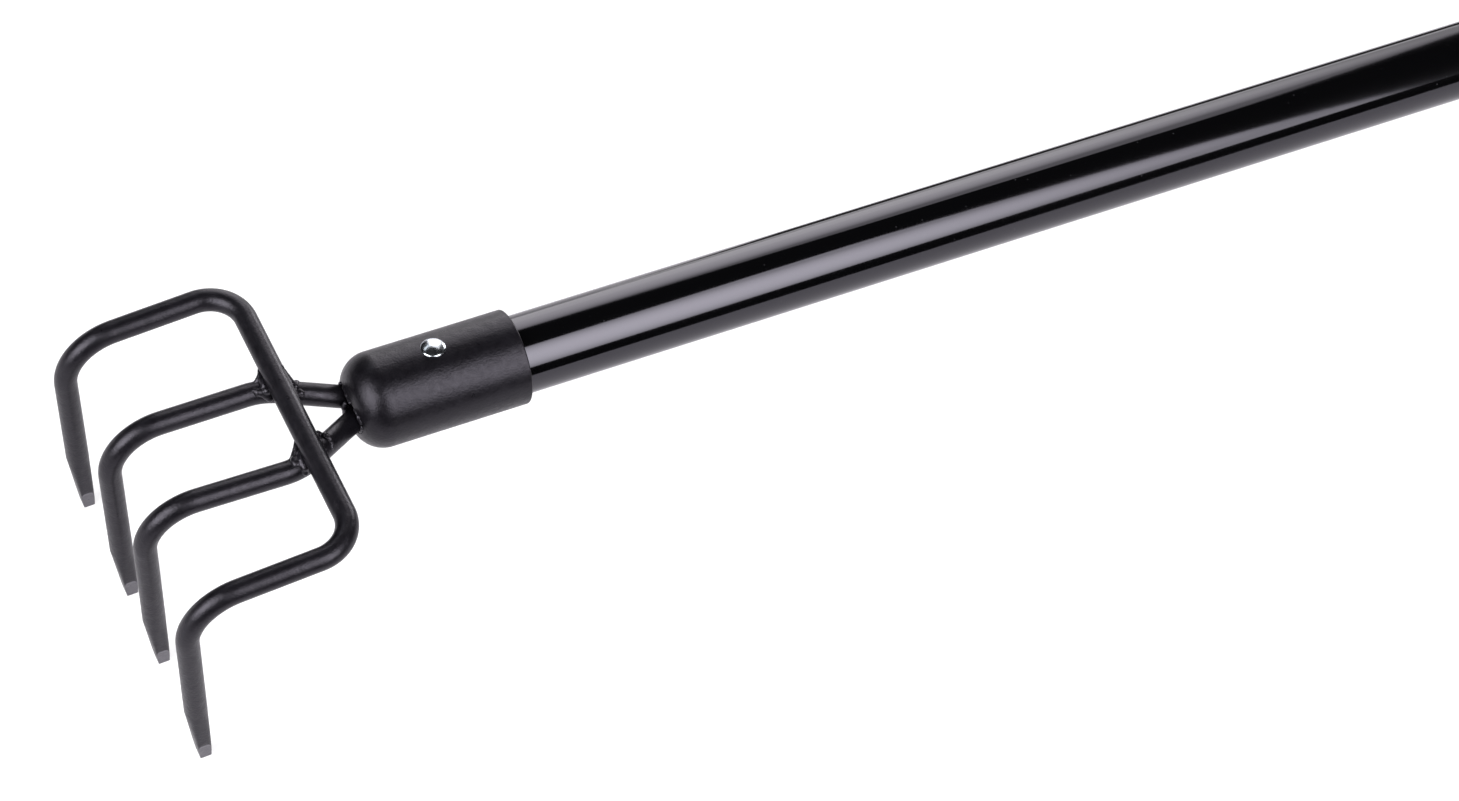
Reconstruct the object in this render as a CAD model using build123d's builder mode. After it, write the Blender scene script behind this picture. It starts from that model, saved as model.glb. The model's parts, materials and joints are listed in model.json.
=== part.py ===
from build123d import *
import os
from math import asin, cos, radians, sin

# A long-handled cultivator with four bent-rod tines, in millimetres. It lies as it is put down: on
# the four tine tips and the rounded end of the handle, on the plane Z = 0. +X runs from the tines
# to the end of the handle, and the origin is on the ground under the middle of the tool. The
# tines hang square to the ground, so the handle slopes down a little towards its end.
#
# Most pieces are drawn on the tool's own planes. Those have their origin at the centre of the
# socket's mouth, X along the handle's axis towards its end, and Z (or the sketch's Y) away from
# the tips. "Right" is +Y, the right hand of a person who holds the handle and faces the tines.

# Handle: a thin steel tube pushed into the socket
handle_diameter = 28.0
handle_wall = 1.0
handle_start = -42.0
handle_end = 1022.0

# End cap: a plug in the tube, a collar as wide as the tube, and a flat tongue with a hole
plug_length = 25.0
plug_clearance = 0.1
collar_length = 6.0
cap_round_centre = handle_end + 16.0
tongue_thickness = 10.0
tongue_shoulder = 3.5
tongue_edge = 1.2
hanging_hole_diameter = 10.0

# Socket: a steel ferrule with a rounded closed end
socket_diameter = 34.1
socket_bore = 28.3
socket_length = 61.4
crown_radius = 10.8
mouth_edge = 0.5
rod_slot_width = 21.6
rod_slot_height = 10.4

# Rivet: one cross rivet with a low round head on both sides
rivet_x = -30.0
rivet_roll = 5.5
rivet_shank_diameter = 4.8
rivet_head_diameter = 8.8
rivet_head_height = 2.2
rivet_head_sink = 0.7

# Tines: round rod, bent cold; widths are measured from the tool's middle plane
rod_diameter = 8.1
tine_drop = 89.1
tip_forward = 0.3
outer_tip_width = 57.6
outer_front_x = -143.55
outer_front_width = 58.7
outer_front_height = 0.7
outer_bend_radius = 19.6
crossbar_x = -81.35
crossbar_width = 58.5
crossbar_height = 6.3
crossbar_bend_radius = 14.1
inner_tip_width = 15.6
inner_front_x = -142.85
inner_front_width = 17.2
inner_bend_radius = 18.5
inner_kink_x = -86.0
inner_kink_width = 17.9
inner_kink_radius = 24.0
inner_start_x = -51.1

# Tips: the lower end of each tine is hammered flat, front to back, and both sides are bevelled.
# Front and back are measured from the tine's centre line; spare is cut off below the ground.
outer_flat_length = 29.0
inner_flat_length = 26.5
flat_front = 0.9
flat_back = 3.0
flat_width = 8.0
flat_corner = 0.8
bevel_height = 10.5
bevel_width = 4.4
spare = 6.0

# Welds: a bead on each side of the crossbar on both inner tines, and the filled slot
bead_radius = 2.2
bead_length = 8.0
bead_rounding = 2.0
bead_offset = 4.3
bead_height = 2.6
front_bead_width = 17.2
rear_bead_width = 13.2
seam_outer_x = -60.3
seam_inner_x = -58.5

handle_radius = handle_diameter / 2
socket_radius = socket_diameter / 2
socket_wall = (socket_diameter - socket_bore) / 2
rod_radius = rod_diameter / 2

# The rest pose: the slope that brings the tips and the handle's rounded end to the same ground
slope = asin((tine_drop - handle_radius) / (cap_round_centre - inner_front_x))
foremost_x = outer_front_x * cos(slope) + outer_front_height * sin(slope) - rod_radius
hindmost_x = cap_round_centre * cos(slope) + handle_radius
mouth_centre = Vector(
    -(foremost_x + hindmost_x) / 2,
    0,
    handle_radius + cap_round_centre * sin(slope),
)
handle_direction = Vector(cos(slope), 0, -sin(slope))
lifted_direction = Vector(sin(slope), 0, cos(slope))
across = Vector(0, 1, 0)
rivet_direction = lifted_direction * cos(radians(rivet_roll)) + across * sin(radians(rivet_roll))

tool_plan = Plane(mouth_centre, x_dir=handle_direction, z_dir=lifted_direction)
tool_side = Plane(mouth_centre, x_dir=handle_direction, z_dir=-across)
handle_axis = Axis(mouth_centre, handle_direction)


def at(x, y, z):
    """The point that far along, across and away from the handle's axis, from the socket's mouth."""
    return tool_plan.from_local_coords(Vector(x, y, z))


def section_plane(x):
    """The plane square to the handle at x, with the sketch's X across the tool."""
    return Plane(at(x, 0, 0), x_dir=across, z_dir=handle_direction)


def bevels(x, y):
    """The steel ground off both sides of the tip of the tine that meets the ground at x, y."""
    lean = (flat_width - bevel_width) / 2 / bevel_height
    with BuildPart() as ground_off:
        for sign in (-1, 1):
            with BuildSketch(Plane.YZ.offset(x)) as wedge:
                with BuildLine():
                    Polyline(
                        (y + sign * (bevel_width / 2 - lean * spare), -spare),
                        (y + sign * flat_width, -spare),
                        (y + sign * flat_width, (flat_width - bevel_width / 2) / lean),
                        close=True,
                    )
                make_face()
            extrude(wedge.sketch, amount=rod_diameter, both=True)
    return ground_off.part


def bent_tine(tip, bends, radii, flat_length):
    """Round rod that runs from the ground up through the bends, with a flat, bevelled tip."""
    flat_start = tip + (bends[0] - tip).normalized() * flat_length
    below_ground = 1 + spare / flat_length
    front = rod_radius - (rod_radius - flat_front) * below_ground
    back = rod_radius - (rod_radius - flat_back) * below_ground
    with BuildPart() as tine:
        with BuildLine():
            path = FilletPolyline(flat_start, *bends, radius=radii)
        section = Plane(path @ 0, x_dir=Axis.X.direction, z_dir=path % 0)
        with BuildSketch(section):
            Circle(rod_radius)
        sweep()
        with BuildSketch(section):
            Circle(rod_radius)
        with BuildSketch(section.offset(-flat_length - spare)):
            with Locations(((back - front) / 2, 0)):
                RectangleRounded(front + back, flat_width, flat_corner)
        loft(ruled=True)
        add(bevels(tip.X, tip.Y), mode=Mode.SUBTRACT)
        split(bisect_by=Plane.XY, keep=Keep.TOP)
    return tine.part


# One long rod makes both outer tines and the crossbar between them
outer_front = at(outer_front_x, outer_front_width, outer_front_height)
outer_half = bent_tine(
    Vector(outer_front.X - tip_forward, outer_tip_width, 0),
    [
        outer_front,
        at(crossbar_x, crossbar_width, crossbar_height),
        at(crossbar_x, 0, crossbar_height),
    ],
    [outer_bend_radius, crossbar_bend_radius],
    outer_flat_length,
)
with BuildPart() as outer_tine_rod:
    add(outer_half)
    mirror(about=Plane.XZ)

# An inner tine leaves the socket at a slant, straightens, and bends down to its tip
inner_front = at(inner_front_x, inner_front_width, 0)
with BuildPart() as inner_tine_right:
    add(
        bent_tine(
            Vector(inner_front.X - tip_forward, inner_tip_width, 0),
            [
                inner_front,
                at(inner_kink_x, inner_kink_width, 0),
                at(inner_start_x, 0, 0),
            ],
            [inner_bend_radius, inner_kink_radius],
            inner_flat_length,
        )
    )
    # The two inner tines meet in a mitre on the tool's middle plane
    split(bisect_by=Plane.XZ, keep=Keep.BOTTOM)
    # The crossbar is pressed into the tine where they are welded
    add(outer_tine_rod.part, mode=Mode.SUBTRACT)


def crossing_bead(x, width):
    """A short weld bead across the top of the right inner tine, in the corner by the crossbar."""
    centre = at(x, width, bead_height)
    with BuildPart() as bead:
        with BuildSketch(Plane(centre, x_dir=across, z_dir=handle_direction)) as outline:
            Rectangle(bead_length, bead_radius, align=(Align.CENTER, Align.MIN))
            fillet(outline.vertices().group_by(Axis.Y)[-1], radius=bead_rounding)
        revolve(axis=Axis(centre, across))
        add(outer_tine_rod.part, mode=Mode.SUBTRACT)
        add(inner_tine_right.part, mode=Mode.SUBTRACT)
    return bead


crossing_weld_front_right = crossing_bead(crossbar_x - bead_offset, front_bead_width)
crossing_weld_rear_right = crossing_bead(crossbar_x + bead_offset, rear_bead_width)


def left_of(piece):
    """The same piece on the tool's left side."""
    with BuildPart() as mirrored:
        mirror(piece.part, about=Plane.XZ)
    return mirrored


inner_tine_left = left_of(inner_tine_right)


def crowned_body(length, radius, crown):
    """A solid round body that ends at the socket's mouth and has a rounded closed end."""
    with BuildPart() as body:
        with BuildSketch(tool_side) as outline:
            Rectangle(length, radius, align=(Align.MAX, Align.MIN))
            corner = outline.vertices().group_by(Axis.X)[0].sort_by(Axis.Y)[-1]
            fillet(corner, radius=crown)
        revolve(axis=handle_axis)
    return body.part


# The rivet's holes go straight through the socket and the handle
rivet_section = Plane(at(rivet_x, 0, 0), x_dir=handle_direction, z_dir=rivet_direction)
with BuildPart() as rivet_hole:
    with BuildSketch(rivet_section):
        Circle(rivet_shank_diameter / 2)
    extrude(amount=socket_diameter, both=True)

with BuildPart() as socket:
    add(crowned_body(socket_length, socket_radius, crown_radius))
    add(
        crowned_body(socket_length - socket_wall, socket_bore / 2, crown_radius - socket_wall),
        mode=Mode.SUBTRACT,
    )
    fillet(socket.edges().group_by(handle_axis)[-1], radius=mouth_edge)
    # The slot in the closed end that both inner tines go through
    with BuildSketch(section_plane(-socket_length)):
        SlotOverall(rod_slot_width, rod_slot_height)
    extrude(amount=crown_radius, mode=Mode.SUBTRACT)
    add(rivet_hole.part, mode=Mode.SUBTRACT)

# Weld metal fills the slot around the two tines, a little below the outer surface
with BuildPart() as socket_weld:
    with BuildSketch(section_plane(seam_outer_x)):
        SlotOverall(rod_slot_width, rod_slot_height)
    extrude(amount=seam_inner_x - seam_outer_x)
    add(inner_tine_left.part, mode=Mode.SUBTRACT)
    add(inner_tine_right.part, mode=Mode.SUBTRACT)

with BuildPart() as handle_tube:
    with BuildSketch(section_plane(handle_start)):
        Circle(handle_radius)
        Circle(handle_radius - handle_wall, mode=Mode.SUBTRACT)
    extrude(amount=handle_end - handle_start)
    add(rivet_hole.part, mode=Mode.SUBTRACT)

# Half of the rivet's outline, on the side of its axis towards the handle's end
head_base = socket_radius - rivet_head_sink
head_top = socket_radius + rivet_head_height
rivet_profile = Plane(
    rivet_section.origin,
    x_dir=rivet_section.x_dir,
    z_dir=-rivet_section.y_dir,
)
with BuildPart() as rivet:
    with BuildSketch(rivet_profile):
        with BuildLine():
            head_arc = TangentArc(
                (0, head_top),
                (rivet_head_diameter / 2, socket_radius),
                tangent=(1, 0),
            )
            Polyline(
                head_arc @ 1,
                (rivet_head_diameter / 2, head_base),
                (rivet_shank_diameter / 2, head_base),
                (rivet_shank_diameter / 2, 0),
                (0, 0),
                head_arc @ 0,
            )
        make_face()
    revolve(axis=Axis(rivet_section.origin, rivet_direction))
    mirror(about=rivet_section)
    add(socket.part, mode=Mode.SUBTRACT)

with BuildPart() as end_cap:
    with BuildSketch(section_plane(handle_end - plug_length)):
        Circle(handle_radius - handle_wall - plug_clearance)
    extrude(amount=plug_length)
    with BuildSketch(section_plane(handle_end)):
        Circle(handle_radius)
    extrude(amount=cap_round_centre - handle_end)
    with BuildSketch(tool_side):
        with Locations((cap_round_centre, 0)):
            Circle(handle_radius)
            Rectangle(handle_radius, handle_radius, align=Align.MIN, mode=Mode.INTERSECT)
    revolve(axis=handle_axis)
    # Both sides are cut away to leave a flat tongue with rounded shoulders
    with BuildSketch(tool_plan) as side_cuts:
        for side in (-1, 1):
            cut_y = side * (tongue_thickness + handle_diameter) / 2
            with Locations((handle_end + collar_length, cut_y)):
                Rectangle(handle_diameter, handle_diameter, align=(Align.MIN, Align.CENTER))
        shoulders = side_cuts.vertices().group_by(Axis.X)[0].sort_by(Axis.Y)[1:3]
        fillet(shoulders, radius=tongue_shoulder)
    extrude(amount=handle_diameter, both=True, mode=Mode.SUBTRACT)
    with BuildSketch(tool_side):
        with Locations((cap_round_centre, 0)):
            Circle(hanging_hole_diameter / 2)
    extrude(amount=handle_diameter, both=True, mode=Mode.SUBTRACT)
    flat_sides = end_cap.faces().filter_by(Axis.Y)
    fillet(flat_sides.edges().filter_by(GeomType.CIRCLE), radius=tongue_edge)

pieces = {
    "outer_tine_rod": outer_tine_rod,
    "inner_tine_left": inner_tine_left,
    "inner_tine_right": inner_tine_right,
    "crossing_weld_front_left": left_of(crossing_weld_front_right),
    "crossing_weld_front_right": crossing_weld_front_right,
    "crossing_weld_rear_left": left_of(crossing_weld_rear_right),
    "crossing_weld_rear_right": crossing_weld_rear_right,
    "socket": socket,
    "socket_weld": socket_weld,
    "rivet": rivet,
    "handle_tube": handle_tube,
    "end_cap": end_cap,
}
os.makedirs("parts", exist_ok=True)
for name, piece in pieces.items():
    piece.part.label = name
    export_step(piece.part, f"parts/{name}.step")
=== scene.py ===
import json
import math
import random

import bmesh
import bpy
from mathutils import Matrix, Quaternion, Vector


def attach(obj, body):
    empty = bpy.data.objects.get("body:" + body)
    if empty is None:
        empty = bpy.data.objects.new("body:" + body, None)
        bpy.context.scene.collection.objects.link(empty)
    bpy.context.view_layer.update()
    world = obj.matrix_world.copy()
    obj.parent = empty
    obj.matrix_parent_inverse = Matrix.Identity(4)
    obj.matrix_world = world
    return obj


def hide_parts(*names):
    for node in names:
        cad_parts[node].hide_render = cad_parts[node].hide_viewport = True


# The looks of a long-handled cultivator, in metres, in the row frame: it lies on its four tine tips
# and the end of its handle, with +X towards the handle's end and +Z up.
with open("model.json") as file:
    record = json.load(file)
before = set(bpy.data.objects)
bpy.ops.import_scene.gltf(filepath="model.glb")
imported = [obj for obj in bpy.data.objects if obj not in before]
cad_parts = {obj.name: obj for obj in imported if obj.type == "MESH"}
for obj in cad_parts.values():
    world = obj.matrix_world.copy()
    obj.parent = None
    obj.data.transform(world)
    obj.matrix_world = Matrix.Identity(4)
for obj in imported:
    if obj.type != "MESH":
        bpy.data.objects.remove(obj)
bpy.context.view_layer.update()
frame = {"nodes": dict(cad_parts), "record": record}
nodes = frame["nodes"]

MM = 0.001

# Handle, from the record: a point halfway along it, its direction and its length
grip = next(m for m in frame["record"]["mounts"] if m["name"] == "handle_grip")
along = Vector(grip["axis"]).normalized()
across = Vector((0, 1, 0))
lifted = along.cross(across)
mouth = Vector(grip["pos_m"]) - along * grip["dims"]["length_mm"] * MM / 2


def at(x, y, z):
    """The point that far along, across and above the handle's axis, from the socket's mouth, in mm."""
    return mouth + (along * x + across * y + lifted * z) * MM


# Rods and their route, in millimetres
rod_radius = 4.05
crossbar_x = -81.35
crossbar_height = 6.3
tip_forward = 0.3
outer_front = at(-143.55, 58.7, 0.7)
outer_corners = [
    Vector((outer_front.x - tip_forward * MM, 57.6 * MM, 0)),
    outer_front,
    at(crossbar_x, 58.5, crossbar_height),
]
outer_radii = [19.6, 14.1]
inner_front = at(-142.85, 17.2, 0)
inner_corners = [
    Vector((inner_front.x - tip_forward * MM, 15.6 * MM, 0)),
    inner_front,
    at(-86.0, 17.9, 0),
    at(-51.1, 0, 0),
]
inner_radii = [18.5, 24.0]

# Hammered tips, in millimetres: how far up the flat starts, the flat's shape at the ground, and
# the bevels that narrow it. Squareness is a superellipse's exponent, and 2 is round.
outer_flat_length = 29.0
inner_flat_length = 26.5
flat_front = 0.9
flat_back = 3.0
flat_half_width = 4.0
flat_squareness = 8.0
squareness_fade = 1.5
bevel_height = 10.5
bevel_half_width = 2.2
bevel_softness = 0.06
end_rounding = 0.7
end_rounding_in_depth = 0.5

# Where a tip is bevelled, its bevel faces are painted a lighter grey, partly for the thinner coat
# there and partly as a painted reflection, with a painted highlight along their upper edge: over what
# depth in mm that starts, how deep the highlighted edge goes, and how light the rest of the bevel is
# beside that edge
cut_edge = 0.05
painted_highlight_depth = 0.13
cut_inside = 0.6

# Rivet, in millimetres and degrees: a low head on each side, nearly flat, with a tight rim
rivet_x = -30.0
rivet_roll = 5.5
rivet_shank_radius = 2.4
rivet_head_radius = 4.4
rivet_head_sink = 0.7
rivet_dome_tilt = 26
rivet_rim_tilt = 26
rivet_rim_tightness = 14
socket_radius = 17.05

# Weld metal, in millimetres: the spacing of its lumps, how far they stray, how much their radii
# vary, and the grid that runs them together
lump_spacing = 0.45
lump_stray = 0.12
lump_variation = 0.1
weld_grid = 0.28
weld_smoothing = 12


# ---------------------------------------------------------------- shader helpers


def new_material(name):
    """A node material, its node tree and its Principled shader."""
    material = bpy.data.materials.new(name)
    material.use_nodes = True
    tree = material.node_tree
    return material, tree, tree.nodes["Principled BSDF"]


def add_node(tree, kind, **settings):
    """A shader node with those settings."""
    node = tree.nodes.new(kind)
    for key, value in settings.items():
        setattr(node, key, value)
    return node


def object_noise(tree, scale, detail=2.0, roughness=0.5, stretch=(1, 1, 1)):
    """Noise of the piece's own coordinates; scale is in cycles per metre."""
    place = add_node(tree, "ShaderNodeTexCoord")
    mapping = add_node(tree, "ShaderNodeMapping")
    mapping.inputs["Scale"].default_value = stretch
    tree.links.new(place.outputs["Object"], mapping.inputs["Vector"])
    texture = add_node(tree, "ShaderNodeTexNoise")
    texture.inputs["Scale"].default_value = scale
    texture.inputs["Detail"].default_value = detail
    texture.inputs["Roughness"].default_value = roughness
    tree.links.new(mapping.outputs["Vector"], texture.inputs["Vector"])
    return texture.outputs["Fac"]


def spread(tree, value, low, high, from_low=0.3, from_high=0.7):
    """The value, spread over low to high as it goes from from_low to from_high."""
    node = add_node(tree, "ShaderNodeMapRange")
    node.inputs["From Min"].default_value = from_low
    node.inputs["From Max"].default_value = from_high
    node.inputs["To Min"].default_value = low
    node.inputs["To Max"].default_value = high
    tree.links.new(value, node.inputs["Value"])
    return node.outputs["Result"]


def tint(tree, value, dark, light):
    """A colour between dark, where the value is 0, and light, where it is 1."""
    node = add_node(tree, "ShaderNodeMix", data_type="RGBA")
    node.inputs[6].default_value = (*dark, 1)
    node.inputs[7].default_value = (*light, 1)
    tree.links.new(value, node.inputs["Factor"])
    return node.outputs[2]


def bump(tree, height, distance, after=None):
    """A bump of that height in metres, on top of another bump if one is given."""
    node = add_node(tree, "ShaderNodeBump")
    node.inputs["Strength"].default_value = 1.0
    node.inputs["Distance"].default_value = distance
    tree.links.new(height, node.inputs["Height"])
    if after is not None:
        tree.links.new(after, node.inputs["Normal"])
    return node.outputs["Normal"]


# ---------------------------------------------------------------- materials


def powder_coat(name, grain=1.0, cut_and_highlight_grey=None, ior=1.41):
    """Matte black powder coat: fine grain, faint mottling and uneven gloss; where a grey is given, a
    lighter bevel face for the thinner coat there, with a painted reflection and a painted edge
    highlight.
    """
    material, tree, shader = new_material(name)
    mottle = object_noise(tree, 160, 4, 0.6)
    colour = tint(
        tree, spread(tree, mottle, 0, 1), (0.0026, 0.0023, 0.0032), (0.0046, 0.0042, 0.0057)
    )
    # On the tips' bevel faces: a lighter grey, part thinner coat, part painted reflection and painted
    # highlight.
    if cut_and_highlight_grey:
        mask = add_node(tree, "ShaderNodeAttribute", attribute_name="cut_and_highlight")
        node = add_node(tree, "ShaderNodeMix", data_type="RGBA")
        node.inputs[7].default_value = (*cut_and_highlight_grey, 1)
        tree.links.new(mask.outputs["Fac"], node.inputs["Factor"])
        tree.links.new(colour, node.inputs[6])
        colour = node.outputs[2]
    tree.links.new(colour, shader.inputs["Base Color"])
    gloss = object_noise(tree, 420, 4, 0.7)
    tree.links.new(spread(tree, gloss, 0.27, 0.41), shader.inputs["Roughness"])
    shader.inputs["IOR"].default_value = ior
    shader.inputs["Specular Tint"].default_value = (0.93, 0.88, 1.0, 1)
    fine = object_noise(tree, 1500, 2, 0.5)
    coarse = object_noise(tree, 260, 2, 0.5)
    grain_bump = bump(tree, fine, 0.00008 * grain)
    tree.links.new(bump(tree, coarse, 0.00012 * grain, after=grain_bump), shader.inputs["Normal"])
    return material


def gloss_paint(name):
    """Smooth gloss black paint on drawn tube, with a trace of orange peel and a few dust specks."""
    material, tree, shader = new_material(name)
    place = add_node(tree, "ShaderNodeTexCoord")
    specks = add_node(tree, "ShaderNodeTexVoronoi", feature="F1")
    specks.inputs["Scale"].default_value = 190
    tree.links.new(place.outputs["Object"], specks.inputs["Vector"])
    dust = spread(tree, specks.outputs["Distance"], 1, 0, 0.03, 0.06)
    tree.links.new(
        tint(tree, dust, (0.0014, 0.0014, 0.0016), (0.03, 0.03, 0.032)),
        shader.inputs["Base Color"],
    )
    haze = object_noise(tree, 35, 3, 0.6, (0.25, 1, 1))
    tree.links.new(spread(tree, haze, 0.07, 0.11), shader.inputs["Roughness"])
    shader.inputs["IOR"].default_value = 1.64
    shader.inputs["Specular Tint"].default_value = (0.92, 0.89, 1.0, 1)
    peel = object_noise(tree, 110, 1, 0.4)
    draw_lines = object_noise(tree, 60, 2, 0.5, (0.05, 1, 1))
    peel_bump = bump(tree, peel, 0.00001)
    tree.links.new(bump(tree, draw_lines, 0.00002, after=peel_bump), shader.inputs["Normal"])
    return material


def zinc_plate(name):
    """Bright zinc plating with a faint blue cast and fine scuffs."""
    material, tree, shader = new_material(name)
    cast = object_noise(tree, 500, 3, 0.6)
    tree.links.new(
        tint(tree, spread(tree, cast, 0, 1), (0.52, 0.56, 0.61), (0.64, 0.67, 0.70)),
        shader.inputs["Base Color"],
    )
    shader.inputs["Metallic"].default_value = 1.0
    scuffs = object_noise(tree, 900, 4, 0.7, (1, 0.3, 1))
    tree.links.new(spread(tree, scuffs, 0.14, 0.24), shader.inputs["Roughness"])
    tree.links.new(bump(tree, scuffs, 0.00002), shader.inputs["Normal"])
    return material


def moulded_plastic(name):
    """Matte black plastic with a fine spark-eroded grain."""
    material, tree, shader = new_material(name)
    mottle = object_noise(tree, 120, 3, 0.5)
    tree.links.new(
        tint(tree, spread(tree, mottle, 0, 1), (0.012, 0.012, 0.013), (0.018, 0.018, 0.019)),
        shader.inputs["Base Color"],
    )
    grain = object_noise(tree, 1400, 3, 0.6)
    tree.links.new(spread(tree, grain, 0.46, 0.58), shader.inputs["Roughness"])
    tree.links.new(bump(tree, grain, 0.00008), shader.inputs["Normal"])
    return material


def floor_paint(name):
    """Matte white, lifted a little by its own light, more so to the camera than to the tool."""
    material, tree, shader = new_material(name)
    shade = object_noise(tree, 2, 2, 0.5)
    tree.links.new(
        tint(tree, spread(tree, shade, 0, 1), (0.41, 0.41, 0.412), (0.425, 0.425, 0.427)),
        shader.inputs["Base Color"],
    )
    shader.inputs["Roughness"].default_value = 0.9
    shader.inputs["Specular IOR Level"].default_value = 0.1
    path = add_node(tree, "ShaderNodeLightPath")
    seen = path.outputs["Is Camera Ray"]
    tree.links.new(tint(tree, seen, (0.97, 0.92, 1.0), (1, 1, 1)), shader.inputs["Emission Color"])
    strength = spread(tree, seen, 0.48, 0.68, 0, 1)
    tree.links.new(strength, shader.inputs["Emission Strength"])
    return material


coat = powder_coat("powder_coat", ior=1.375)
# The tines' bevel faces: a lighter grey for their thinner coat, with a painted reflection and edge
# highlight.
tine_coat = powder_coat("powder_coat_tines", 1.0, (0.115, 0.111, 0.123), 1.425)
weld_coat = powder_coat("powder_coat_weld", 1.6, ior=1.5)
paint = gloss_paint("gloss_black_paint")
zinc = zinc_plate("zinc_plate")
plastic = moulded_plastic("black_plastic")


# ---------------------------------------------------------------- mesh helpers


def make_piece(name, builder, material, replaced=()):
    """A mesh piece that rides on the tool and stands for the CAD nodes it replaces."""
    mesh = bpy.data.meshes.new(name)
    builder.normal_update()
    builder.to_mesh(mesh)
    builder.free()
    mesh.materials.append(material)
    for polygon in mesh.polygons:
        polygon.use_smooth = True
    piece = bpy.data.objects.new(name, mesh)
    bpy.context.scene.collection.objects.link(piece)
    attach(piece, "root")
    if replaced:
        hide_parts(*replaced)


def arc_samples(corner, before, after, radius, step):
    """Points and directions along the arc that rounds a corner of a route."""
    turn = before.angle(after)
    reach = radius * math.tan(turn / 2)
    start = corner - before * reach
    inward = (after - before * math.cos(turn)).normalized()
    centre = start + inward * radius
    spin_axis = before.cross(after).normalized()
    count = max(2, math.ceil(turn / step))
    samples = []
    for i in range(count + 1):
        spin = Quaternion(spin_axis, turn * i / count)
        samples.append((centre + spin @ (start - centre), spin @ before))
    return samples


def route_samples(corners, radii, first_spacing, flat_length, step=math.radians(4)):
    """Points and directions along a rod's route, close together on its hammered tip."""
    directions = [(b - a).normalized() for a, b in zip(corners, corners[1:])]
    count = math.ceil(flat_length / first_spacing)
    samples = []
    for i in range(count + 1):
        samples.append((corners[0] + directions[0] * flat_length * i / count, directions[0]))
    for i, radius in enumerate(radii):
        samples += arc_samples(corners[i + 1], directions[i], directions[i + 1], radius, step)
    samples.append((corners[-1], directions[-1]))
    return samples


def soft_min(a, b, softness):
    """The smaller of two lengths, with a rounded change between them."""
    middle = (a + b) / 2
    return middle - math.sqrt(((a - b) / 2) ** 2 + softness**2)


def tip_section(height, flat_length, count):
    """The tine's outline in mm, that far up from its end, and how much each point is painted lighter
    on the bevel: thinner coat, painted reflection and a painted highlight on its upper edge.
    """
    rise = min(1, height / flat_length)
    front = flat_front + (rod_radius - flat_front) * rise
    back = flat_back + (rod_radius - flat_back) * rise
    half_width = flat_half_width + (rod_radius - flat_half_width) * rise
    squareness = 2 + (flat_squareness - 2) * (1 - rise) ** squareness_fade
    side_limit = bevel_half_width + (flat_half_width - bevel_half_width) * height / bevel_height
    inset = 0
    if height < end_rounding:
        inset = end_rounding - math.sqrt(end_rounding**2 - (end_rounding - height) ** 2)
    outline = []
    for i in range(count):
        angle = 2 * math.pi * i / count
        cosine, sine = math.cos(angle), math.sin(angle)
        depth = math.copysign(abs(cosine) ** (2 / squareness), cosine)
        width = abs(sine) ** (2 / squareness) * half_width
        depth *= (back if depth > 0 else front) - inset * end_rounding_in_depth
        cut_and_highlight = 0
        if rise < 1:
            bite = width - side_limit
            cut_and_highlight = min(1, max(0, bite / cut_edge))
            # Fullest along the bevel's upper edge, a painted highlight; the rest of the bevel stays
            # lighter too.
            cut_and_highlight *= max(cut_inside, min(1, 1 - (bite - painted_highlight_depth) / painted_highlight_depth))
            width = max(0, soft_min(width, side_limit, bevel_softness) - inset)
        outline.append((depth, math.copysign(width, sine), cut_and_highlight))
    return outline


def sweep(builder, samples, flat_length, count=64):
    """Skins a rod along its route, with the hammered tip at its start. Returns the last ring."""
    # How much each point is painted lighter: bevel face, painted reflection and painted edge
    # highlight.
    cut_and_highlight_layer = builder.verts.layers.float.new("cut_and_highlight")
    start, direction = samples[0]
    depth_axis = (Vector((1, 0, 0)) - direction * direction.x).normalized()
    ring = None
    travelled = 0
    for point, tangent in samples:
        travelled += (point - start).length
        depth_axis = direction.rotation_difference(tangent) @ depth_axis
        width_axis = tangent.cross(depth_axis)
        start, direction = point, tangent
        outline = tip_section(travelled / MM, flat_length, count)
        new_ring = []
        for depth, width, cut_and_highlight in outline:
            place = point + (depth_axis * depth + width_axis * width) * MM
            new_ring.append(builder.verts.new(place))
            new_ring[-1][cut_and_highlight_layer] = cut_and_highlight
        if ring is None:
            builder.faces.new(new_ring)
        else:
            for i in range(count):
                j = (i + 1) % count
                builder.faces.new((ring[i], ring[j], new_ring[j], new_ring[i]))
        ring = new_ring
    return ring


def bent_rod(builder, corners, radii, flat_length, closed=True):
    """A rod along its route, from its hammered tip, with its other end closed or left open."""
    ring_spacing = 0.4
    samples = route_samples(corners, [r * MM for r in radii], ring_spacing * MM, flat_length * MM)
    last = sweep(builder, samples, flat_length)
    if closed:
        builder.faces.new(list(reversed(last)))


def mirrored(builder):
    """Adds the same mesh on the other side of the tool's middle plane."""
    everything = builder.verts[:] + builder.edges[:] + builder.faces[:]
    doubles = bmesh.ops.duplicate(builder, geom=everything)
    new_verts = [g for g in doubles["geom"] if isinstance(g, bmesh.types.BMVert)]
    bmesh.ops.scale(builder, vec=(1, -1, 1), verts=new_verts)
    new_faces = [g for g in doubles["geom"] if isinstance(g, bmesh.types.BMFace)]
    bmesh.ops.reverse_faces(builder, faces=new_faces)


# ---------------------------------------------------------------- tines


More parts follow.
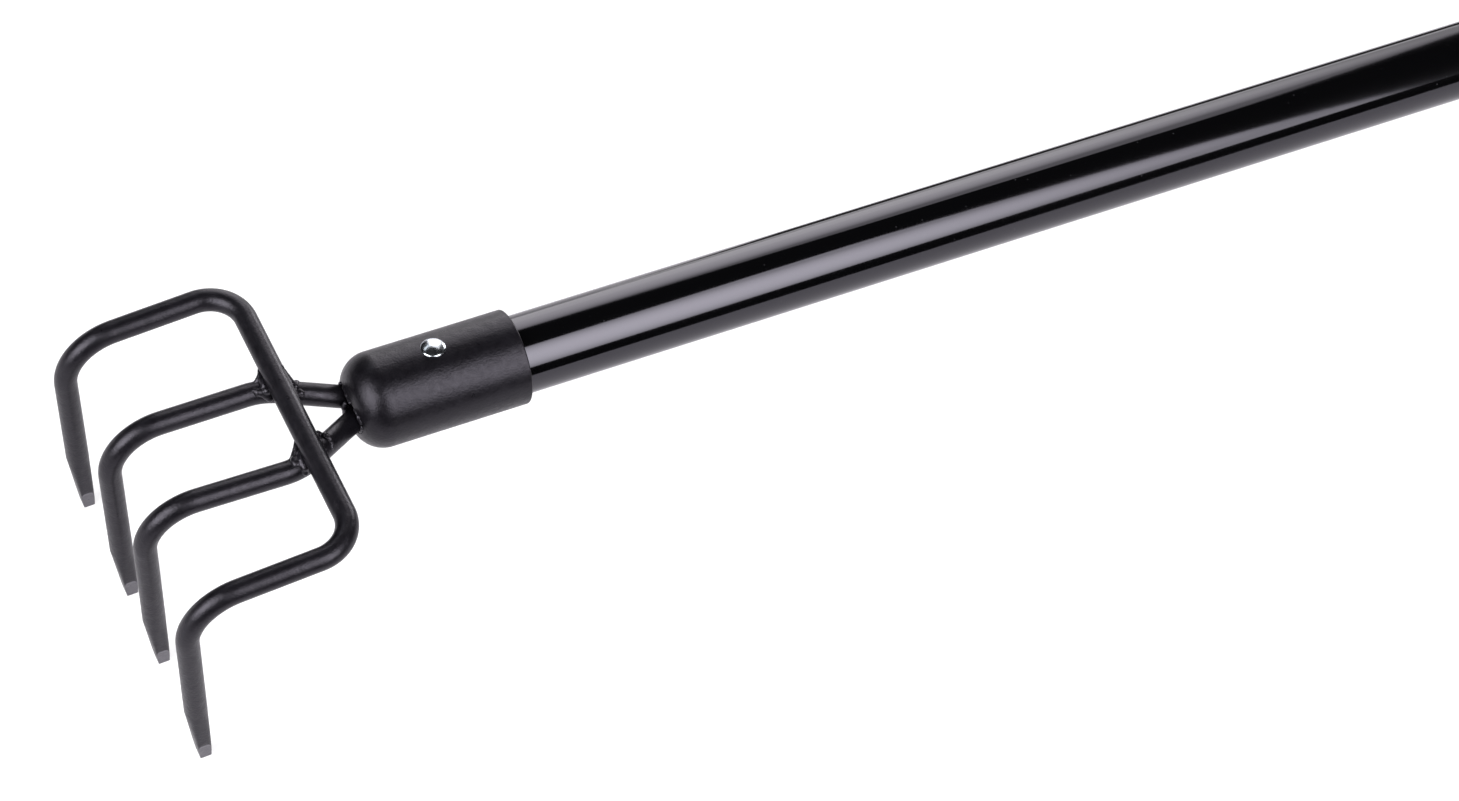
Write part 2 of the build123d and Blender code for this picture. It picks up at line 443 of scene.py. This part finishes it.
def make_outer_rod():
    """One rod, bent into both outer tines and the crossbar: half of it, and its mirror image."""
    builder = bmesh.new()
    bent_rod(
        builder,
        outer_corners + [at(crossbar_x, 0, crossbar_height)],
        outer_radii,
        outer_flat_length,
        closed=False,
    )
    mirrored(builder)
    bmesh.ops.remove_doubles(builder, verts=builder.verts[:], dist=0.01 * MM)
    bmesh.ops.recalc_face_normals(builder, faces=builder.faces[:])
    make_piece("outer_rod", builder, tine_coat, ["outer_tine_rod"])


def make_inner_tine(side, sign):
    """An inner tine; sign is 1 on the +Y side and -1 on the other."""
    builder = bmesh.new()
    bent_rod(builder, inner_corners, inner_radii, inner_flat_length)
    bmesh.ops.scale(builder, vec=(1, sign, 1), verts=builder.verts[:])
    bmesh.ops.recalc_face_normals(builder, faces=builder.faces[:])
    make_piece(
        f"inner_tine_rod_{side}", builder, tine_coat, [f"inner_tine_{side}"]
    )


make_outer_rod()
make_inner_tine("right", 1)
make_inner_tine("left", -1)


# ---------------------------------------------------------------- welds


def weld_metal(name, beads, replaced):
    """Beads of weld metal run together. A bead lists places along it, with its radius there."""
    builder = bmesh.new()
    for bead in beads:
        for (*start, start_radius), (*end, end_radius) in zip(bead, bead[1:]):
            start, end = Vector(start), Vector(end)
            count = max(2, math.ceil((end - start).length / lump_spacing))
            for i in range(count + 1):
                stray = Vector([random.uniform(-lump_stray, lump_stray) for _ in range(3)])
                radius = start_radius + (end_radius - start_radius) * i / count
                radius *= random.uniform(1 - lump_variation, 1 + lump_variation)
                place = at(*(start.lerp(end, i / count) + stray))
                bmesh.ops.create_icosphere(
                    builder, subdivisions=3, radius=radius * MM, matrix=Matrix.Translation(place)
                )
    rough = bpy.data.meshes.new("rough")
    builder.to_mesh(rough)
    builder.free()
    lumps = bpy.data.objects.new("rough", rough)
    bpy.context.scene.collection.objects.link(lumps)
    remesh = lumps.modifiers.new("run_together", "REMESH")
    remesh.mode = "VOXEL"
    remesh.voxel_size = weld_grid * MM
    smooth = lumps.modifiers.new("smooth", "SMOOTH")
    smooth.factor = 0.5
    smooth.iterations = weld_smoothing
    finished = lumps.evaluated_get(bpy.context.evaluated_depsgraph_get())
    made = bpy.data.meshes.new_from_object(finished)
    bpy.data.objects.remove(lumps)
    builder = bmesh.new()
    builder.from_mesh(made)
    bpy.data.meshes.remove(made)
    bpy.data.meshes.remove(rough)
    make_piece(name, builder, weld_coat, replaced)


def make_crossing_welds():
    """Short hand-run welds where the crossbar crosses the inner tines, all different."""
    weld_metal(
        "weld_front_left",
        [
            [(-84.5, -9.7, 5.0, 0.8), (-85.1, -11.3, 4.9, 0.95), (-85.7, -12.6, 4.3, 1.1)],
            [(-85.7, -12.6, 4.3, 1.1), (-87.0, -13.9, 3.2, 0.95)],
            [(-87.0, -13.9, 3.2, 0.95), (-88.6, -15.3, 2.7, 0.8), (-90.0, -15.7, 2.3, 0.7)],
            [(-85.2, -12.7, 3.0, 1.3), (-86.3, -13.9, 2.3, 1.2)],
            [(-87.2, -15.6, 3.6, 1.2), (-88.1, -17.0, 3.9, 1.5), (-87.8, -18.4, 3.7, 1.5)],
            [(-85.6, -14.8, 4.4, 1.35), (-85.5, -18.0, 4.3, 1.5), (-85.6, -20.5, 3.5, 1.4)],
            [(-86.4, -20.6, 2.2, 1.0), (-85.6, -21.4, 1.6, 1.0)],
        ],
        ["crossing_weld_front_left"],
    )
    weld_metal(
        "weld_front_right",
        [
            [(-84.7, 23.0, 5.0, 0.8), (-85.2, 21.5, 4.8, 0.95), (-85.8, 20.3, 4.2, 1.1)],
            [(-85.8, 20.3, 4.2, 1.1), (-87.0, 19.7, 3.2, 0.95)],
            [(-87.0, 19.7, 3.2, 0.95), (-88.6, 19.5, 2.8, 0.8), (-90.0, 19.4, 2.4, 0.7)],
            [(-85.2, 20.0, 3.0, 1.3), (-86.2, 19.2, 2.4, 1.2)],
            [(-89.3, 16.4, 3.3, 1.2), (-88.3, 15.3, 3.2, 1.5), (-87.3, 14.6, 3.0, 1.5)],
            [(-86.6, 14.2, 2.4, 1.2), (-85.6, 13.5, 1.9, 1.3), (-85.0, 12.8, 0.9, 1.2)],
            [(-85.6, 18.6, 4.4, 1.35), (-85.5, 16.5, 4.3, 1.5), (-85.6, 14.0, 4.0, 1.4)],
        ],
        ["crossing_weld_front_right"],
    )
    weld_metal(
        "weld_rear_left",
        [
            [(-74.3, -10.6, 3.5, 1.4), (-73.5, -12.0, 3.4, 1.4)],
            [(-73.4, -13.6, 2.9, 1.1), (-73.6, -15.0, 1.9, 1.0)],
            [(-76.2, -8.6, 3.5, 1.0), (-75.1, -8.9, 2.8, 0.9)],
            [(-76.6, -15.6, 3.0, 1.0), (-76.6, -8.8, 3.4, 1.0)],
        ],
        ["crossing_weld_rear_left"],
    )
    weld_metal(
        "weld_rear_right",
        [
            [(-75.3, 10.0, 3.7, 1.1), (-74.8, 9.3, 3.3, 1.2)],
            [(-75.6, 12.9, 3.6, 1.2), (-75.0, 14.3, 3.3, 1.1), (-74.0, 14.2, 3.0, 0.7)],
            [(-78.5, 18.9, 8.4, 1.0), (-78.2, 18.0, 7.9, 0.8)],
            [(-78.0, 17.6, 7.2, 1.0), (-77.5, 15.8, 5.9, 1.2), (-76.8, 14.8, 4.6, 1.2)],
            [(-76.6, 15.2, 3.3, 1.0), (-76.6, 9.2, 3.4, 1.0)],
        ],
        ["crossing_weld_rear_right"],
    )


def make_socket_beads():
    """Low, uneven beads where the two rods go into the slot in the socket's end."""
    weld_metal(
        "socket_weld_beads",
        [
            [(-62.6, 0.2, 2.9, 0.9), (-62.9, 0, 1.2, 1.1), (-62.8, -0.2, -2.4, 0.9)],
            [(-60.6, 9.9, -1.0, 0.8), (-60.7, 9.6, 1.9, 0.7), (-60.9, 7.9, 4.0, 0.8)],
            [(-61.0, 5.6, 4.7, 0.7), (-61.2, 2.4, 4.8, 0.8), (-61.2, -1.4, 4.7, 0.9)],
            [(-61.0, -4.6, 4.7, 0.7), (-60.9, -7.6, 4.2, 0.9), (-60.7, -9.3, 2.4, 0.8)],
            [(-60.6, -10.0, 0.6, 0.9), (-60.7, -9.6, -2.0, 0.7)],
            [(-60.9, 6.8, -4.5, 0.8), (-61.1, 0, -4.8, 0.9), (-60.9, -6.8, -4.5, 0.8)],
        ],
        [],
    )


random.seed(7)
make_crossing_welds()
make_socket_beads()


# ---------------------------------------------------------------- rivet


def head_profile(count=48):
    """Radii and heights of a rivet head in mm, from its middle to its rim, from its slope."""
    points = [(0, 0)]
    for i in range(1, count + 1):
        share = i / count
        middle = (i - 0.5) / count
        tilt = rivet_dome_tilt * middle + rivet_rim_tilt * middle**rivet_rim_tightness
        drop = math.tan(math.radians(tilt)) * rivet_head_radius / count
        points.append((rivet_head_radius * share, points[-1][1] - drop))
    rim = points[-1][1]
    return [(radius, height - rim) for radius, height in points]


def make_rivet(count=72):
    """One cross rivet: its outline from the middle of one head to the other's, turned on its axis."""
    half = [(radius, socket_radius + height) for radius, height in head_profile()]
    half.append((rivet_head_radius, socket_radius - rivet_head_sink))
    half.append((rivet_shank_radius, socket_radius - rivet_head_sink))
    outline = half + [(radius, -height) for radius, height in reversed(half)]
    axis = lifted * math.cos(math.radians(rivet_roll)) + across * math.sin(math.radians(rivet_roll))
    side = axis.cross(along)
    centre = at(rivet_x, 0, 0)
    builder = bmesh.new()
    rings = []
    for radius, height in outline:
        spin = [2 * math.pi * i / count for i in range(1 if radius == 0 else count)]
        rings.append(
            [
                builder.verts.new(
                    centre
                    + axis * height * MM
                    + (along * math.cos(a) + side * math.sin(a)) * radius * MM
                )
                for a in spin
            ]
        )
    for upper, lower in zip(rings, rings[1:]):
        for i in range(count):
            j = (i + 1) % count
            corners = [upper[i % len(upper)], upper[j % len(upper)]]
            corners += [lower[j % len(lower)], lower[i % len(lower)]]
            builder.faces.new(dict.fromkeys(corners))
    bmesh.ops.recalc_face_normals(builder, faces=builder.faces[:])
    make_piece("cross_rivet", builder, zinc, ["rivet"])


make_rivet()


# ---------------------------------------------------------------- CAD nodes that keep their shape


def dress(node, material):
    """Gives a CAD node its material."""
    for slot in nodes[node].material_slots:
        slot.link = "OBJECT"
        slot.material = material


dress("socket", coat)
dress("socket_weld", weld_coat)
dress("handle_tube", paint)
dress("end_cap", plastic)


# ---------------------------------------------------------------- floor, light and camera


def stage_object(name, builder, material):
    """A mesh that belongs to the studio, not to the tool."""
    mesh = bpy.data.meshes.new(name)
    builder.to_mesh(mesh)
    builder.free()
    mesh.materials.append(material)
    thing = bpy.data.objects.new(name, mesh)
    bpy.context.scene.collection.objects.link(thing)
    return thing


def glow(name, brightness, colour, half_size=None, edge=1.0):
    """Light from a softbox's cloth, even, or fading from its middle to edge times that."""
    material, tree, shader = new_material(name)
    tree.nodes.remove(shader)
    emission = add_node(tree, "ShaderNodeEmission")
    emission.inputs["Color"].default_value = (*colour, 1)
    emission.inputs["Strength"].default_value = brightness
    tree.links.new(emission.outputs["Emission"], tree.nodes["Material Output"].inputs["Surface"])
    if half_size:
        place = add_node(tree, "ShaderNodeTexCoord")
        mapping = add_node(tree, "ShaderNodeMapping")
        mapping.inputs["Scale"].default_value = (1 / half_size[0], 1 / half_size[1], 1)
        tree.links.new(place.outputs["Object"], mapping.inputs["Vector"])
        radius = add_node(tree, "ShaderNodeVectorMath", operation="DOT_PRODUCT")
        tree.links.new(mapping.outputs["Vector"], radius.inputs[0])
        tree.links.new(mapping.outputs["Vector"], radius.inputs[1])
        strength = spread(tree, radius.outputs["Value"], brightness, brightness * edge, 0, 1)
        tree.links.new(strength, emission.inputs["Strength"])
    return material


def panel(name, corners, material, place=(0, 0, 0), turn=Quaternion()):
    """A flat studio panel or card, near the tool but never in the picture itself."""
    builder = bmesh.new()
    builder.faces.new([builder.verts.new(corner) for corner in corners])
    thing = stage_object(name, builder, material)
    thing.location = place
    thing.rotation_mode = "QUATERNION"
    thing.rotation_quaternion = turn
    thing.visible_camera = False
    return thing


def make_floor():
    """The white table top that the tool lies on."""
    half_size = 6.0
    builder = bmesh.new()
    bmesh.ops.create_grid(builder, x_segments=8, y_segments=8, size=half_size)
    stage_object("floor", builder, floor_paint("floor_paint"))


def make_front_softbox():
    """The key light, in front of the tool and above the camera's line."""
    distance = 1.5
    height_angle = math.radians(40)
    half_width, half_height = 0.58, 0.87
    direction = Vector((0, -math.cos(height_angle), math.sin(height_angle)))
    facing = direction.to_track_quat("Z", "Y") @ Quaternion((0, 0, 1), math.radians(13))
    lower, upper = -1.02 * half_height, 0.93 * half_height
    corners = [
        (-half_width, lower, 0),
        (half_width, lower, 0),
        (half_width, upper, 0),
        (-half_width, upper, 0),
    ]
    cloth = glow("front_cloth", 6.9, (0.98, 0.97, 1.0), (half_width, half_height), 0.45)
    panel("front_softbox", corners, cloth, Vector((0.08, 0, 0.05)) + direction * distance, facing)


def make_back_panel():
    """A tall lit backdrop behind the tool, brightest at its middle, bounded by slanting edges."""
    middle = Vector((0.3, 1.5, 0.9))
    half_size = (0.70, 1.35)
    facing = Vector((0, -1, 0)).to_track_quat("Z", "Y") @ Quaternion((0, 0, 1), math.radians(-17))
    outline = [
        (-0.17, 0.02),
        (0.97, 0.02),
        (1.0, 0.9),
        (1.13, 1.37),
        (1.37, 2.09),
        (1.97, 3.75),
        (-0.19, 1.5),
    ]
    corners = [facing.inverted() @ (Vector((x, middle.y, z)) - middle) for x, z in outline]
    cloth = glow("back_cloth", 3.5, (1.0, 0.98, 1.0), half_size, 0.36)
    panel("back_panel", corners, cloth, middle, facing)


def make_back_wing():
    """A dim strip that runs on from the backdrop's upper edge, to its left."""
    corners = [(-0.19, 1.5, 1.1), (-0.19, 1.5, 1.5), (-1.1, 1.5, 2.1), (-1.1, 1.5, 1.65)]
    panel("back_wing", corners, glow("wing_cloth", 1.8, (0.9, 0.95, 1.0)))


def reflected_only(thing):
    """Keeps a studio card out of everything but reflections."""
    thing.visible_diffuse = False
    thing.visible_shadow = False


def make_back_strip():
    """The foot of the backdrop, seen past the far edge of the table, and the dark gap before it."""
    strip = [(-0.3, 0.36, 0.0), (1.1, 0.36, 0.0), (1.1, 0.36, 0.045), (-0.3, 0.36, 0.045)]
    reflected_only(panel("back_strip", strip, glow("strip_cloth", 1.7, (1.0, 0.98, 1.0))))
    gap = [(-0.3, 0.12, 0.002), (1.5, 0.12, 0.002), (1.5, 0.36, 0.002), (-0.3, 0.36, 0.002)]
    reflected_only(panel("gap_card", gap, card_black("gap_black", 0.04)))


def make_left_softbox():
    """The second light, beyond the tines, that shows on their bends and the socket's dome."""
    distance = 1.3
    height_angle = math.radians(37)
    half_width, half_height = 0.62, 0.6
    direction = Vector((-math.cos(height_angle), -0.2, math.sin(height_angle))).normalized()
    facing = direction.to_track_quat("Z", "Y")
    corners = [
        (-half_width, -half_height, 0),
        (half_width, -half_height, 0),
        (half_width, half_height, 0),
        (-half_width, half_height, 0),
    ]
    cloth = glow("left_cloth", 8.2, (0.98, 0.98, 1.0), (half_width, half_height), 0.5)
    panel("left_softbox", corners, cloth, Vector((-0.5, 0, 0.05)) + direction * distance, facing)


def make_right_panel():
    """A low panel beyond the handle that lights the far side of the crossbar."""
    corners = [(1.12, 1.45, 0.1), (2.0, 0.9, 0.1), (2.0, 0.9, 1.3), (1.12, 1.45, 0.8)]
    panel("right_panel", corners, glow("right_cloth", 6.6, (1.0, 0.99, 1.0)))


def card_black(name, shade):
    """Black card without a shine."""
    material, _, shader = new_material(name)
    shader.inputs["Base Color"].default_value = (shade, shade, shade, 1)
    shader.inputs["Roughness"].default_value = 1.0
    shader.inputs["Specular IOR Level"].default_value = 0
    return material


def make_flag():
    """A low black card in front of the tool, dark in its lowest reflections."""
    corners = [(-1.5, -0.27, 0), (1.5, -0.27, 0), (1.5, -0.27, 0.12), (-1.5, -0.27, 0.12)]
    reflected_only(panel("flag", corners, card_black("flag_black", 0.001)))


def make_world():
    """White to the camera, and a dim studio to everything else."""
    world = bpy.data.worlds.new("studio")
    world.use_nodes = True
    tree = world.node_tree
    background = tree.nodes["Background"]
    path = add_node(tree, "ShaderNodeLightPath")
    colour = tint(tree, path.outputs["Is Camera Ray"], (0.012, 0.012, 0.013), (1, 1, 1))
    tree.links.new(colour, background.inputs["Color"])
    bpy.context.scene.world = world


def make_camera():
    """Looks down at the tines from the tool's left front, with the handle running out of view."""
    camera = bpy.data.objects.new("camera", bpy.data.cameras.new("camera"))
    camera.data.sensor_width = 36.0
    camera.data.lens = 104.85
    camera.data.clip_start = 0.05
    target = Vector((-0.36605, 0.0, 0.00686))
    distance = 1.55381
    azimuth = math.radians(-117.6123)
    elevation = math.radians(53.7009)
    roll = math.radians(2.8725)
    back = Vector(
        (
            math.cos(azimuth) * math.cos(elevation),
            math.sin(azimuth) * math.cos(elevation),
            math.sin(elevation),
        )
    )
    camera.rotation_mode = "QUATERNION"
    camera.rotation_quaternion = back.to_track_quat("Z", "Y") @ Quaternion((0, 0, 1), roll)
    camera.location = target + back * distance
    bpy.context.scene.collection.objects.link(camera)
    bpy.context.scene.camera = camera


make_floor()
make_front_softbox()
make_left_softbox()
make_back_panel()
make_right_panel()
make_back_wing()
make_back_strip()
make_flag()
make_world()
make_camera()
bpy.context.scene.view_settings.view_transform = "Standard"
